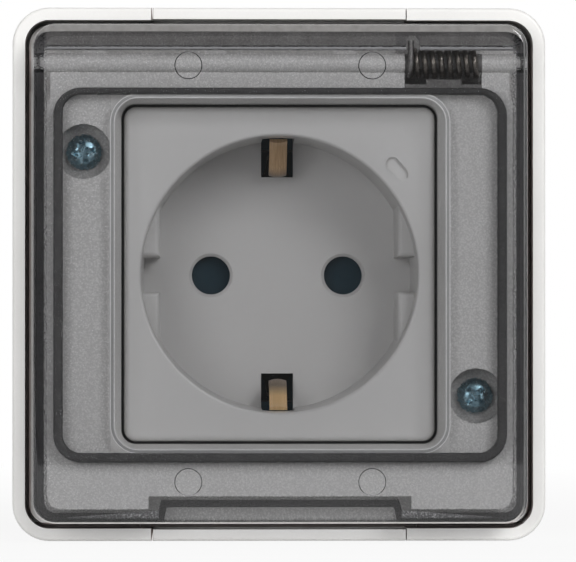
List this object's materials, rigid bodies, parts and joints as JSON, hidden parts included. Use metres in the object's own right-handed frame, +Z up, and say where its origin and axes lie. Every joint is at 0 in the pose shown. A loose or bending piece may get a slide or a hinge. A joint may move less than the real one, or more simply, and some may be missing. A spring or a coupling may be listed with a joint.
{
  "type": "outdoor weatherproof socket",
  "caption": "Square white surface-mounted outdoor socket: a round side-earth plug well behind a sealed, smoke-tinted lid on a spring hinge, with membrane cable entries above and below.",
  "frame": {"origin": "centre of the box's flat back, on the wall plane", "axes": "+Y points into the wall, the socket faces -Y, +Z is up the wall and +X is to the right as seen from the front"},
  "size_m": [0.075, 0.0452, 0.075],
  "materials": {
    "white_shell": "fine satin",
    "white_face": "semi-gloss",
    "smoke_lid": "clear, smoke tint",
    "seal_rubber": "matte",
    "spring_steel": "drawn wire",
    "zinc_screws": "blue zinc plate",
    "contact_brass": "bare",
    "base_plastic": "moulded, dark"
  },
  "bodies": {
    "housing": {"surface_box": "white_shell", "top_entry_insert": "white_shell", "bottom_entry_insert": "white_shell", "top_grommet": "seal_rubber", "bottom_grommet": "seal_rubber", "box_seal": "seal_rubber", "cover_frame": "white_shell", "cover_screws": "zinc_screws", "hinge_rod": "white_shell", "hinge_spring": "spring_steel", "socket_face": "white_face", "face_seal": "seal_rubber", "contact_base": "base_plastic", "line_contact": "contact_brass", "neutral_contact": "contact_brass", "line_terminal": "contact_brass", "neutral_terminal": "contact_brass", "earth_terminal": "contact_brass", "terminal_screws": "zinc_screws", "earth_bracket": "contact_brass", "tie_screws": "zinc_screws", "fixing_screws": "zinc_screws"},
    "cover": {"lid": "smoke_lid", "lid_seal": "seal_rubber"},
    "pin_guard": {"shutter": "base_plastic"}
  },
  "joints": [
    {"name": "lid_hinge", "type": "hinge", "parent": "housing", "child": "cover", "pos_m": [0, -0.0406, 0.02943], "axis": [-1, 0, 0], "range_deg": [0, 100], "stiffness_Nm_per_rad": 0.008, "springref_deg": -63.03, "deforming": ["hinge_spring"]},
    {"name": "shutter_turn", "type": "hinge", "parent": "housing", "child": "pin_guard", "pos_m": [0, -0.01695, 0], "axis": [0, -1, 0], "range_deg": [0, 40], "stiffness_Nm_per_rad": 0.0005, "springref_deg": -34.38}
  ]
}
